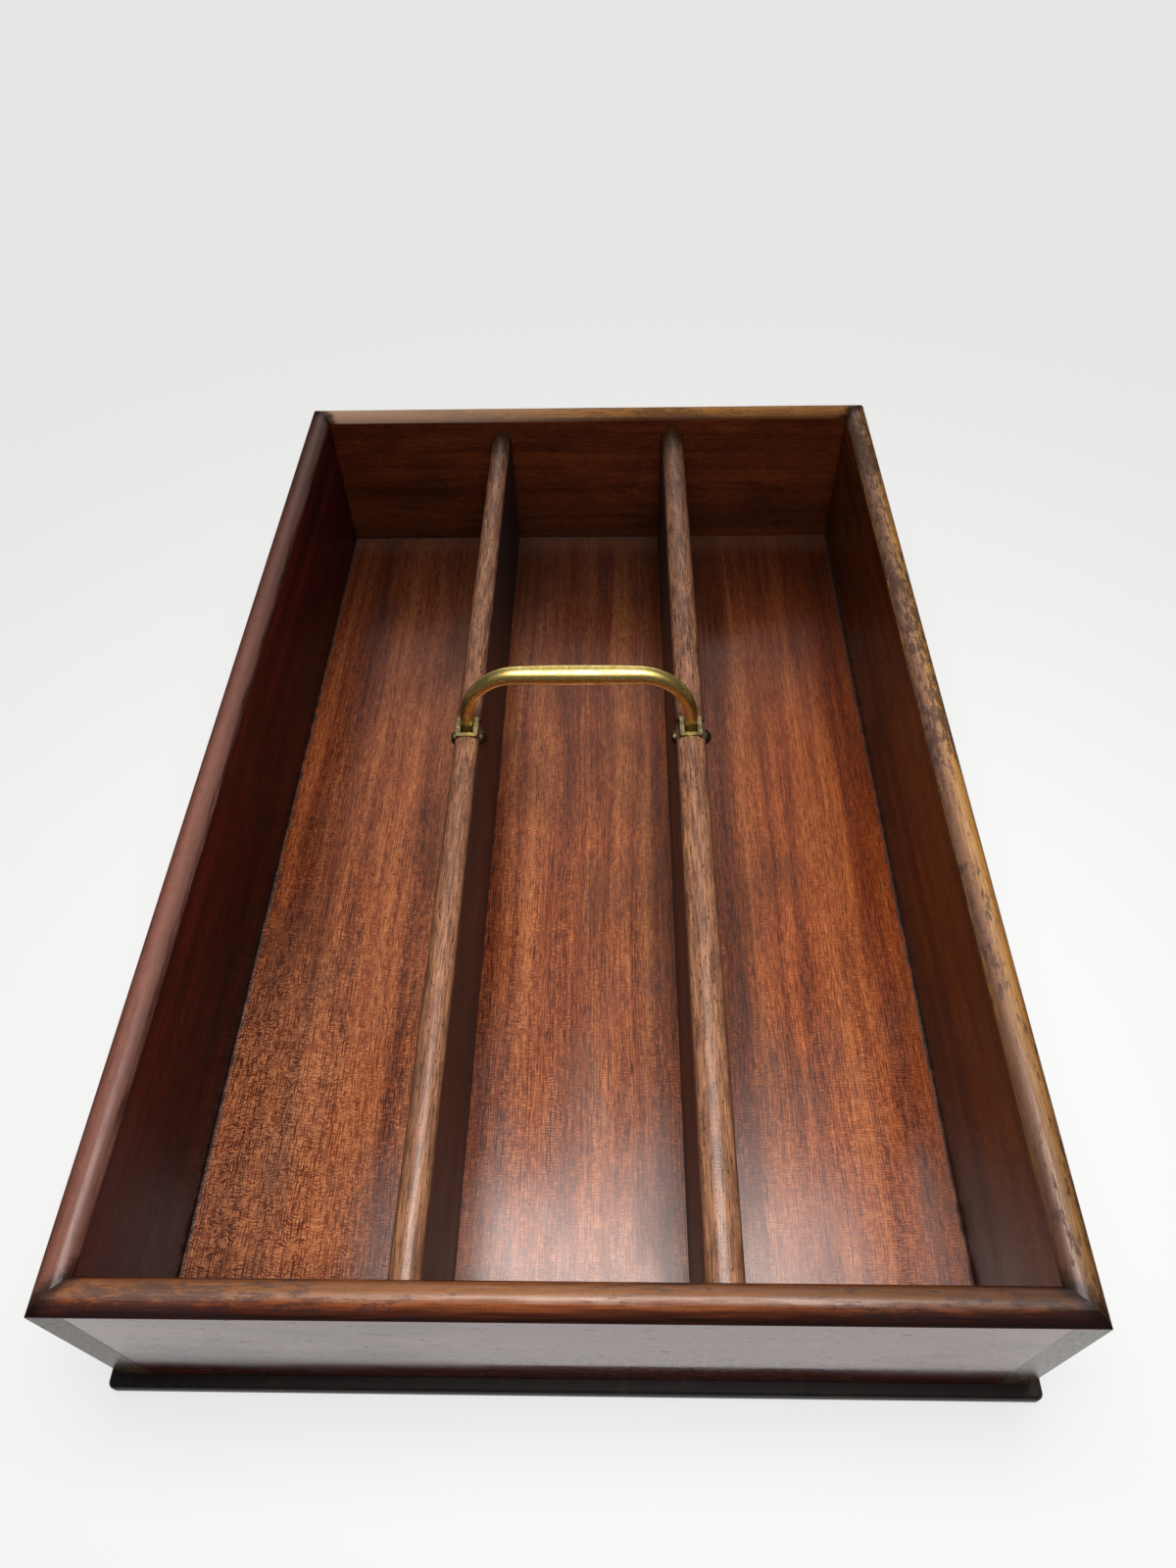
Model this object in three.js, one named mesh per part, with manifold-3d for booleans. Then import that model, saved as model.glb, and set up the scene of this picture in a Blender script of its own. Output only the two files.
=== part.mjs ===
// An open mahogany cutlery tray with two long dividers and a brass bail handle.
// Millimetres, +Z up, +Y away from the viewer, origin under the middle of the base board.

import * as THREE from 'three';
import { mergeVertices } from 'three/addons/utils/BufferGeometryUtils.js';
import Module from 'manifold-3d';

const wasm = await Module();
wasm.setup();

// Walls
const trayWidth = 266;
const trayLength = 403.6;
const wallHeight = 71.4;
const wallThickness = 9.7;
const rimRise = 3.5;
const mitreGap = 0.3;

// Base board
const baseThickness = 5;
const baseProjection = 3.8;
const baseEdgeRound = 1.2;
const baseCornerRadius = 2;

// Dividers and their housings in the end boards
const dividerSpacing = 82.4;
const dividerThicknessLeft = 9;
const dividerThicknessRight = 10.6;
const dividerDrop = 8.3;
const dividerRise = 3.4;
const housingDepth = 3.2;
const housingClearance = 0.3;
const housingStop = 0.6;

// Brass bail
const bailHeight = 28.3;
const bailCornerRadius = 19.6;
const bailLean = THREE.MathUtils.degToRad(9.5);
const gripDiameter = 7.2;
const legDiameter = 4.8;
const footDiameter = 4.2;
const eyeDiameter = 5.4;
const eyeWidth = 4.2;

// Hinge brackets let into the dividers
const bracketWidth = 8;
const bracketLength = 9.3;
const bracketFrontWall = 1.6;
const bracketCheek = 0.8;
const bracketFloor = 1.6;
const bracketCornerRadius = 0.7;
const flangeHeight = 3.5;
const bracketSink = 0.3;
const bracketClearance = 0.3;

// Pivot screws and their nuts
const pivotDrop = 6.6;
const pivotDiameter = 2.6;
const pivotClearance = 0.3;
const pivotHeadDiameter = 6;
const pivotHeadHeight = 2.6;
const nutDiameter = 5;
const nutHeight = 1.8;
const nutEdge = 0.7;

// Hidden fixings
const cornerPinDiameter = 1.6;
const cornerPinLength = 24;
const cornerPinsPerCorner = 3;
const baseScrewDiameter = 2.8;
const baseScrewLength = 16;
const baseScrewHeadDiameter = 5.6;
const baseScrewHeadDepth = 1.5;
const baseScrewHeadEdge = 0.4;
const baseScrewsPerSide = 4;
const baseScrewsPerEnd = 2;
const fixingSink = 0.3;
const fixingClearance = 0.3;

// How far a cutting block runs past the face that it cuts
const overrun = 1;

// Facets of round forms
const edgeArcSegments = 14;
const bailSides = 16;
const bailSteps = 64;
const smallArcSegments = 4;
const roundSegments = 24;
const fixingSegments = 10;
const domeSteps = 6;

// Levels and faces that several pieces share
const wallTop = baseThickness + wallHeight;
const wallShoulder = wallTop - rimRise;
const halfWidth = trayWidth / 2;
const halfLength = trayLength / 2;
const innerHalfWidth = halfWidth - wallThickness;
const innerHalfLength = halfLength - wallThickness;
const dividerTop = wallTop - dividerDrop;
const bracketTop = dividerTop - bracketSink;
const notchFloor = bracketTop - flangeHeight;
const pivotHeight = dividerTop - pivotDrop;
const channelHalf = eyeWidth / 2 + pivotClearance;
const channelFloor = pivotHeight - eyeDiameter / 2 - pivotClearance;
const bracketBodyHalf = channelHalf + bracketCheek;
const bracketBottom = channelFloor - bracketFloor;
const dividers = [
  { side: 'left', x: -dividerSpacing / 2, thickness: dividerThicknessLeft },
  { side: 'right', x: dividerSpacing / 2, thickness: dividerThicknessRight },
];

// Finishes
const mahogany = { color: 0x6b3420, roughness: 0.45, metalness: 0 };
const darkMahogany = { color: 0x2b1c18, roughness: 0.7, metalness: 0 };
const polishedBrass = { color: 0xc9a54a, roughness: 0.28, metalness: 1 };
const dullBrass = { color: 0x8d8058, roughness: 0.5, metalness: 1 };
const steel = { color: 0x55514c, roughness: 0.6, metalness: 1 };

// Closed three.js geometry to a solid that can be cut and joined
function solidOf(geometry) {
  const bare = geometry.clone();
  bare.deleteAttribute('normal');
  bare.deleteAttribute('uv');
  const merged = mergeVertices(bare, 1e-5);
  const mesh = new wasm.Mesh({
    numProp: 3,
    vertProperties: merged.attributes.position.array,
    triVerts: merged.index.array,
  });
  return new wasm.Manifold(mesh);
}

function geometryOf(solid) {
  const mesh = solid.getMesh();
  const geometry = new THREE.BufferGeometry();
  geometry.setAttribute('position', new THREE.BufferAttribute(mesh.vertProperties, 3));
  geometry.setIndex(new THREE.BufferAttribute(mesh.triVerts, 1));
  geometry.computeVertexNormals();
  return geometry;
}

// Block between two opposite corners
function block(low, high) {
  const size = high.map((value, axis) => value - low[axis]);
  const middle = high.map((value, axis) => (value + low[axis]) / 2);
  return solidOf(new THREE.BoxGeometry(...size).translate(...middle));
}

// Round rod along X between two x values
function rodAlongX(diameter, fromX, toX, y, z, segments) {
  const geometry = new THREE.CylinderGeometry(diameter / 2, diameter / 2, toX - fromX, segments);
  return solidOf(geometry.rotateZ(Math.PI / 2).translate((fromX + toX) / 2, y, z));
}

// Plan outline raised between two levels
function prism(outline, fromZ, toZ) {
  const shape = new THREE.Shape(outline.map(([x, y]) => new THREE.Vector2(x, y)));
  const geometry = new THREE.ExtrudeGeometry(shape, { depth: toZ - fromZ, bevelEnabled: false });
  return solidOf(geometry.translate(0, 0, fromZ));
}

// Rectangle with rounded corners, centred on the origin
function roundedRectangle(width, length, radius) {
  const x = width / 2;
  const y = length / 2;
  const shape = new THREE.Shape();
  shape.moveTo(x, -y + radius);
  shape.lineTo(x, y - radius);
  shape.absarc(x - radius, y - radius, radius, 0, Math.PI / 2);
  shape.lineTo(-x + radius, y);
  shape.absarc(-x + radius, y - radius, radius, Math.PI / 2, Math.PI);
  shape.lineTo(-x, -y + radius);
  shape.absarc(-x + radius, -y + radius, radius, Math.PI, 1.5 * Math.PI);
  shape.lineTo(x - radius, -y);
  shape.absarc(x - radius, -y + radius, radius, 1.5 * Math.PI, 2 * Math.PI);
  return shape;
}

// Board on edge, running along Y, whose top is rounded by an arc that meets each face at a slight arris
function roundTopBoard(thickness, length, bottom, top, rise) {
  const half = thickness / 2;
  const radius = (half * half + rise * rise) / (2 * rise);
  const startAngle = Math.asin((radius - rise) / radius);
  const section = new THREE.Shape();
  section.moveTo(half, bottom);
  section.lineTo(half, top - rise);
  section.absarc(0, top - radius, radius, startAngle, Math.PI - startAngle);
  section.lineTo(-half, bottom);
  const options = { depth: length, bevelEnabled: false, curveSegments: edgeArcSegments };
  return new THREE.ExtrudeGeometry(section, options).rotateX(Math.PI / 2).translate(0, length / 2, 0);
}

function addMesh(parent, name, geometry, finish) {
  const mesh = new THREE.Mesh(geometry, new THREE.MeshStandardMaterial(finish));
  mesh.name = name;
  parent.add(mesh);
  return mesh;
}

// Corner of the rim above the shoulder, on one side of the mitre
function mitreWedge(signX, signY, cutsEndBoard, setback) {
  const over = wallThickness;
  const outer = [halfWidth + over, halfLength + over];
  const inner = [innerHalfWidth - over, innerHalfLength - over];
  const far = cutsEndBoard ? [outer[0], inner[1]] : [inner[0], outer[1]];
  const shift = cutsEndBoard ? setback * Math.SQRT2 : 0;
  const triangle = [outer, inner, far].map(([x, y]) => [signX * (x - shift), signY * y]);
  const outline = signX * signY * (cutsEndBoard ? 1 : -1) > 0 ? triangle : triangle.reverse();
  return prism(outline, wallShoulder, wallTop + over);
}

const signs = [-1, 1];
const corners = signs.flatMap((signX) => signs.map((signY) => [signX, signY]));

// Places of the hidden fixings
const cornerPins = corners.flatMap(([signX, signY]) =>
  Array.from({ length: cornerPinsPerCorner }, (_, index) => ({
    signX,
    y: signY * (halfLength - wallThickness / 2),
    z: baseThickness + ((wallShoulder - baseThickness) * (index + 0.5)) / cornerPinsPerCorner,
  })),
);

function spread(count, length) {
  return Array.from({ length: count }, (_, index) => length * ((index + 0.5) / count - 0.5));
}

const wallMiddleX = halfWidth - wallThickness / 2;
const wallMiddleY = halfLength - wallThickness / 2;
const baseScrews = signs.flatMap((sign) => [
  ...spread(baseScrewsPerSide, trayLength).map((y) => [sign * wallMiddleX, y]),
  ...spread(baseScrewsPerEnd, trayWidth).map((x) => [x, sign * wallMiddleY]),
]);

// Countersunk screw, or the hole for one, turned about a vertical axis and pointing up
function baseScrewShape(x, y, clearance) {
  const shank = baseScrewDiameter / 2 + clearance;
  const head = baseScrewHeadDiameter / 2 + clearance;
  const low = clearance > 0 ? -fixingSink : fixingSink;
  const edge = fixingSink + clearance + baseScrewHeadEdge;
  const tip = fixingSink + baseScrewLength + clearance;
  const profile = [
    new THREE.Vector2(0, low),
    new THREE.Vector2(head, low),
    new THREE.Vector2(head, edge),
    new THREE.Vector2(shank, edge + baseScrewHeadDepth),
    new THREE.Vector2(shank, tip - shank),
    new THREE.Vector2(0, tip),
  ];
  const turned = new THREE.LatheGeometry(profile, fixingSegments).rotateX(Math.PI / 2);
  return solidOf(turned.translate(x, y, 0));
}

function cornerPinShape(pin, clearance) {
  const outside = clearance > 0 ? fixingSink : -fixingSink;
  const head = halfWidth + outside;
  const tip = halfWidth - fixingSink - cornerPinLength - clearance;
  const [fromX, toX] = pin.signX > 0 ? [tip, head] : [-head, -tip];
  return rodAlongX(cornerPinDiameter + 2 * clearance, fromX, toX, pin.y, pin.z, fixingSegments);
}

function joined(solids) {
  return solids.reduce((whole, solid) => whole.add(solid));
}

const pinHoles = joined(cornerPins.map((pin) => cornerPinShape(pin, fixingClearance)));
const screwHoles = joined(baseScrews.map(([x, y]) => baseScrewShape(x, y, fixingClearance)));

const tray = new THREE.Group();

// Base board, its edge rounded above and below
const plate = roundedRectangle(
  trayWidth + 2 * (baseProjection - baseEdgeRound),
  trayLength + 2 * (baseProjection - baseEdgeRound),
  baseCornerRadius - baseEdgeRound,
);
const plateGeometry = new THREE.ExtrudeGeometry(plate, {
  depth: baseThickness - 2 * baseEdgeRound,
  bevelThickness: baseEdgeRound,
  bevelSize: baseEdgeRound,
  bevelSegments: smallArcSegments,
  curveSegments: smallArcSegments,
});
plateGeometry.translate(0, 0, baseEdgeRound);
addMesh(tray, 'base_board', geometryOf(solidOf(plateGeometry).subtract(screwHoles)), darkMahogany);

// Side boards run the full length, lap the end boards, and are mitred only in the rounded rim
for (const signX of signs) {
  const board = roundTopBoard(wallThickness, trayLength, baseThickness, wallTop, rimRise);
  board.translate(signX * wallMiddleX, 0, 0);
  let solid = solidOf(board).subtract(pinHoles).subtract(screwHoles);
  for (const signY of signs) {
    solid = solid.subtract(mitreWedge(signX, signY, false, 0));
  }
  addMesh(tray, signX < 0 ? 'side_board_left' : 'side_board_right', geometryOf(solid), mahogany);
}

// End boards stand between the side boards, and their rims lap over them to the mitre
for (const signY of signs) {
  const board = roundTopBoard(wallThickness, trayWidth, baseThickness, wallTop, rimRise);
  board.rotateZ(Math.PI / 2).translate(0, signY * wallMiddleY, 0);
  let solid = solidOf(board).subtract(pinHoles).subtract(screwHoles);
  const faceY = [signY * (innerHalfLength - wallThickness), signY * (halfLength + wallThickness)];
  const lowY = Math.min(...faceY);
  const highY = Math.max(...faceY);
  for (const signX of signs) {
    const endX = [signX * innerHalfWidth, signX * (halfWidth + wallThickness)];
    const low = [Math.min(...endX), lowY, 0];
    const high = [Math.max(...endX), highY, wallShoulder];
    solid = solid.subtract(block(low, high)).subtract(mitreWedge(signX, signY, true, mitreGap));
  }
  for (const divider of dividers) {
    const halfHousing = divider.thickness / 2 + housingClearance;
    const housingY = [signY * (innerHalfLength - overrun), signY * (innerHalfLength + housingDepth)];
    const low = [divider.x - halfHousing, Math.min(...housingY), 0];
    const high = [divider.x + halfHousing, Math.max(...housingY), wallShoulder - housingStop];
    solid = solid.subtract(block(low, high));
  }
  addMesh(tray, signY < 0 ? 'end_board_front' : 'end_board_back', geometryOf(solid), mahogany);
}

// Dividers stand on the base board with their ends housed, each cut for its hinge bracket and pivot
for (const divider of dividers) {
  const length = 2 * (innerHalfLength + housingDepth - housingClearance);
  const board = roundTopBoard(divider.thickness, length, baseThickness, dividerTop, dividerRise);
  const halfNotch = bracketLength / 2 + bracketClearance;
  const halfMortise = bracketBodyHalf + bracketClearance;
  const notch = block(
    [-divider.thickness, -halfNotch, notchFloor],
    [divider.thickness, halfNotch, wallTop],
  );
  const mortise = block(
    [-halfMortise, -halfNotch, bracketBottom - bracketClearance],
    [halfMortise, halfNotch, wallTop],
  );
  const holeDiameter = pivotDiameter + 2 * pivotClearance;
  const hole = rodAlongX(
    holeDiameter,
    -divider.thickness,
    divider.thickness,
    0,
    pivotHeight,
    roundSegments,
  );
  const solid = solidOf(board).subtract(notch).subtract(mortise).subtract(hole);
  const geometry = geometryOf(solid).translate(divider.x, 0, 0);
  addMesh(tray, `divider_${divider.side}`, geometry, mahogany);
}

// Each bracket is a socket with a flange on top, cut by a channel that is open above and behind
function bracketGeometry() {
  const upper = roundedRectangle(bracketWidth, bracketLength, bracketCornerRadius);
  const lower = roundedRectangle(2 * bracketBodyHalf, bracketLength, bracketCornerRadius);
  const curve = { bevelEnabled: false, curveSegments: smallArcSegments };
  const flange = new THREE.ExtrudeGeometry(upper, { ...curve, depth: flangeHeight });
  flange.translate(0, 0, notchFloor);
  const body = new THREE.ExtrudeGeometry(lower, { ...curve, depth: bracketTop - bracketBottom });
  body.translate(0, 0, bracketBottom);
  const channel = block(
    [-channelHalf, bracketFrontWall - bracketLength / 2, channelFloor],
    [channelHalf, bracketLength, wallTop],
  );
  const hole = rodAlongX(
    pivotDiameter + 2 * pivotClearance,
    -bracketWidth,
    bracketWidth,
    0,
    pivotHeight,
    roundSegments,
  );
  return geometryOf(solidOf(flange).add(solidOf(body)).subtract(channel).subtract(hole));
}

// Domed screw turned about its axis, head on the right
function pivotScrewGeometry(divider) {
  const head = pivotHeadDiameter / 2;
  const faceX = divider.thickness / 2;
  const domeRadius = (head * head + pivotHeadHeight * pivotHeadHeight) / (2 * pivotHeadHeight);
  const domeAngle = Math.asin(head / domeRadius);
  const profile = [
    new THREE.Vector2(0, -faceX - nutHeight),
    new THREE.Vector2(pivotDiameter / 2, -faceX - nutHeight),
    new THREE.Vector2(pivotDiameter / 2, faceX),
  ];
  for (let step = 0; step <= domeSteps; step += 1) {
    const angle = domeAngle * (1 - step / domeSteps);
    const rise = domeRadius * Math.cos(angle) - domeRadius + pivotHeadHeight;
    profile.push(new THREE.Vector2(domeRadius * Math.sin(angle), faceX + rise));
  }
  profile[profile.length - 1].x = 0;
  return new THREE.LatheGeometry(profile, roundSegments).rotateZ(-Math.PI / 2);
}

// Round nut with a chamfered outer edge, on the left face
function pivotNutGeometry(divider) {
  const bore = pivotDiameter / 2 + pivotClearance;
  const faceX = divider.thickness / 2;
  const profile = [
    new THREE.Vector2(bore, -faceX - nutHeight),
    new THREE.Vector2(nutDiameter / 2 - nutEdge, -faceX - nutHeight),
    new THREE.Vector2(nutDiameter / 2, -faceX - nutHeight + nutEdge),
    new THREE.Vector2(nutDiameter / 2, -faceX),
    new THREE.Vector2(bore, -faceX),
    new THREE.Vector2(bore, -faceX - nutHeight),
  ];
  return new THREE.LatheGeometry(profile, roundSegments).rotateZ(-Math.PI / 2);
}

for (const divider of dividers) {
  const bracket = bracketGeometry().translate(divider.x, 0, 0);
  addMesh(tray, `hinge_bracket_${divider.side}`, bracket, dullBrass);
  const screw = addMesh(tray, `pivot_screw_${divider.side}`, pivotScrewGeometry(divider), dullBrass);
  screw.position.set(divider.x, 0, pivotHeight);
  const nut = addMesh(tray, `pivot_nut_${divider.side}`, pivotNutGeometry(divider), dullBrass);
  nut.position.set(divider.x, 0, pivotHeight);
}

// Centreline of the bail in its own plane, from the left pivot up and over to the right one
function bailPath() {
  const half = dividerSpacing / 2;
  const straight = bailHeight - bailCornerRadius;
  const cornerX = half - bailCornerRadius;
  const curve = new THREE.Path();
  curve.moveTo(-half, 0);
  curve.lineTo(-half, straight);
  curve.absarc(-cornerX, straight, bailCornerRadius, Math.PI, Math.PI / 2, true);
  curve.lineTo(cornerX, bailHeight);
  curve.absarc(cornerX, straight, bailCornerRadius, Math.PI / 2, 0, true);
  curve.lineTo(half, 0);
  return curve;
}

// Thickness of the bail: a slim foot as high as the divider, an even leg, and a grip that swells in the middle
function bailRadiusAt(point) {
  const half = dividerSpacing / 2;
  const straight = bailHeight - bailCornerRadius;
  const share = Math.min(Math.abs(point.x) / half, 1);
  const swell = (gripDiameter - legDiameter) * (1 - share * share);
  const fullness = THREE.MathUtils.clamp((point.y - pivotDrop) / (straight - pivotDrop), 0, 1);
  const leg = footDiameter + (legDiameter - footDiameter) * fullness;
  return (leg + swell) / 2;
}

// Rings of points carried along the bail's centreline and joined into one closed skin
function sweptBail() {
  const curve = bailPath();
  const steps = bailSteps;
  const positions = [];
  for (let step = 0; step <= steps; step += 1) {
    const centre = curve.getPointAt(step / steps);
    const tangent = curve.getTangentAt(step / steps);
    const radius = bailRadiusAt(centre);
    for (let side = 0; side < bailSides; side += 1) {
      const angle = (2 * Math.PI * side) / bailSides;
      const outward = radius * Math.cos(angle);
      const x = centre.x + tangent.y * outward;
      const z = centre.y - tangent.x * outward;
      positions.push(x, radius * Math.sin(angle), z);
    }
  }
  const index = [];
  for (let step = 0; step < steps; step += 1) {
    for (let side = 0; side < bailSides; side += 1) {
      const a = step * bailSides + side;
      const b = step * bailSides + ((side + 1) % bailSides);
      index.push(a, b, b + bailSides, a, b + bailSides, a + bailSides);
    }
  }
  const last = steps * bailSides;
  for (let side = 1; side < bailSides - 1; side += 1) {
    index.push(0, side + 1, side);
    index.push(last, last + side, last + side + 1);
  }
  const geometry = new THREE.BufferGeometry();
  geometry.setAttribute('position', new THREE.Float32BufferAttribute(positions, 3));
  geometry.setIndex(index);
  return solidOf(geometry);
}

// The bail turns on the pivot screws and stands leaning back in its sockets
const handle = new THREE.Group();
handle.position.z = pivotHeight;
handle.rotation.x = -bailLean;
let bail = sweptBail();
for (const divider of dividers) {
  const eyeLow = divider.x - eyeWidth / 2;
  const eyeHigh = divider.x + eyeWidth / 2;
  bail = bail.add(rodAlongX(eyeDiameter, eyeLow, eyeHigh, 0, 0, roundSegments));
}
for (const divider of dividers) {
  const holeDiameter = pivotDiameter + 2 * pivotClearance;
  const reach = bracketWidth / 2;
  const hole = rodAlongX(holeDiameter, divider.x - reach, divider.x + reach, 0, 0, roundSegments);
  bail = bail.subtract(hole);
}
addMesh(handle, 'handle_bail', geometryOf(bail), polishedBrass);
tray.add(handle);

// Hidden fixings
cornerPins.forEach((pin, index) => {
  addMesh(tray, `corner_pin_${index + 1}`, geometryOf(cornerPinShape(pin, 0)), steel);
});
baseScrews.forEach(([x, y], index) => {
  addMesh(tray, `base_screw_${index + 1}`, geometryOf(baseScrewShape(x, y, 0)), steel);
});

export default tray;
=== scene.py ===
"""A worn mahogany cutlery tray with two dividers and a brass bail handle, dressed over its solid model.

Metres, +Z up, +Y along the tray away from the front. The sections follow the tray as it is put together.
"""

import bmesh
import bpy
import numpy as np
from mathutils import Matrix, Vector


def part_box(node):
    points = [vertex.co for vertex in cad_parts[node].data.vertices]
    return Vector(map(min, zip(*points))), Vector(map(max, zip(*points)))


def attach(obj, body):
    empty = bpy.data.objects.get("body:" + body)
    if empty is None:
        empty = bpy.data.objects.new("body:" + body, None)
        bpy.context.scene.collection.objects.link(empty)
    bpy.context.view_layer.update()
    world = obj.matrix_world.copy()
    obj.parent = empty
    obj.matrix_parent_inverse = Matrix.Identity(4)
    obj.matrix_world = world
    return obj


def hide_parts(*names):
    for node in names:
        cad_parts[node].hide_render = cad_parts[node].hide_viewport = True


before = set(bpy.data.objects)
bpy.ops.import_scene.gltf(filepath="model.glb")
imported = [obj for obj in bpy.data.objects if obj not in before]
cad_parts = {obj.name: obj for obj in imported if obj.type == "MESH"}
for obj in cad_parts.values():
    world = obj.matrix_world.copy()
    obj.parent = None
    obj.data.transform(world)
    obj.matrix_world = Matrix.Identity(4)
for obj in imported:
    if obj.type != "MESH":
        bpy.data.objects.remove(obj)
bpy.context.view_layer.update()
mm = 0.001


# Base board
# A single flat mahogany board, screwed up under the walls and standing out all round as a small plinth.
# Inside it is the floor of the compartments: open-pored, with a crazed old polish over ribbon figure.

floor_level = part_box("base_board")[1][2]
base_edge_softening = 0.25 * mm
same_point = 0.001 * mm
flat_angle = np.radians(0.4)
crease_angle = np.radians(32)
softened_angle = np.radians(40)


def linear(colour):
    """An sRGB hex colour as linear red, green, blue and alpha.

    Each channel is ((c + 0.055) / 1.055) to the power 2.4, or c / 12.92 where it is very dark.
    """
    srgb = np.array([int(colour[start:start + 2], 16) for start in (1, 3, 5)]) / 255
    channels = np.where(srgb > 0.04045, ((srgb + 0.055) / 1.055) ** 2.4, srgb / 12.92)
    return (*channels, 1.0)


def add(tree, kind, inputs=(), stops=None, **settings):
    """Adds a shader node with its settings, then fills its inputs by name or in order.

    An input takes a number, a vector, a colour, or another node, whose first output in use is linked.
    """
    node = tree.nodes.new("ShaderNode" + kind)
    for name, value in settings.items():
        setattr(node, name, value)
    if stops:
        ramp = node.color_ramp
        while len(ramp.elements) < len(stops):
            ramp.elements.new(1.0)
        for element, (place, colour) in zip(ramp.elements, stops):
            element.position = place
            element.color = linear(colour)
    sockets = [socket for socket in node.inputs if socket.enabled]
    named = {socket.name: socket for socket in reversed(sockets)}
    pairs = inputs.items() if isinstance(inputs, dict) else enumerate(inputs)
    for key, value in pairs:
        socket = named[key] if isinstance(key, str) else sockets[key]
        if isinstance(value, bpy.types.Node):
            value = next(output for output in value.outputs if output.enabled)
        if isinstance(value, bpy.types.NodeSocket):
            tree.links.new(value, socket)
        else:
            socket.default_value = value
    return node


faint_weave = 0.25
ray_spacing = 0.9
fibre_spacing = 0.95


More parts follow.
